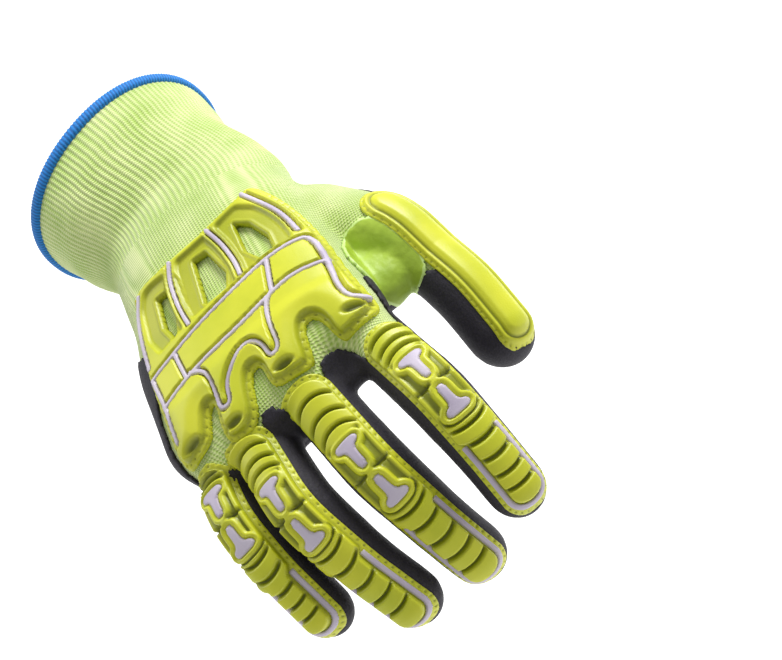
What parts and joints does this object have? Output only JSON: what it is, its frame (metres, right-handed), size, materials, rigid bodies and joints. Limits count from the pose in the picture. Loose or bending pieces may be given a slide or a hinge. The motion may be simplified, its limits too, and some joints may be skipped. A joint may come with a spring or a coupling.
{
  "type": "impact glove",
  "caption": "Right-hand knit work glove with a dipped palm coating and moulded impact guards over the knuckles, fingers and thumb.",
  "frame": {"origin": "middle of the wrist, where the cuff meets the hand, inside the glove", "axes": "+X towards the fingers, +Y towards the thumb's side, +Z out of the back of the hand"},
  "size_m": [0.2395, 0.1393, 0.1043],
  "materials": {
    "knit": "matt seamless knit",
    "hem_thread": "matt overlock thread",
    "coating": "sandy matt nitrile",
    "patch_film": "smooth satin film",
    "guard_rubber": "satin moulded rubber",
    "inlay_rubber": "satin moulded rubber"
  },
  "bodies": {
    "root": {"knit_cuff": "knit", "knit_hand": "knit", "knit_index": "knit", "knit_middle": "knit", "knit_ring": "knit", "knit_little": "knit", "knit_thumb": "knit", "cuff_hem": "hem_thread", "index_guard": "guard_rubber", "middle_guard": "guard_rubber", "ring_guard": "guard_rubber", "little_guard": "guard_rubber", "thumb_guard": "guard_rubber", "index_bone_rear": "inlay_rubber", "index_bone_front": "inlay_rubber", "middle_bone_rear": "inlay_rubber", "middle_bone_front": "inlay_rubber", "ring_bone_rear": "inlay_rubber", "ring_bone_front": "inlay_rubber", "little_bone_rear": "inlay_rubber", "little_bone_front": "inlay_rubber", "back_guard": "guard_rubber", "back_line_index": "inlay_rubber", "back_line_middle": "inlay_rubber", "back_line_ring": "inlay_rubber", "back_line_little": "inlay_rubber", "back_line_band": "inlay_rubber", "palm_coating": "coating", "crotch_patch": "patch_film"}
  },
  "joints": []
}
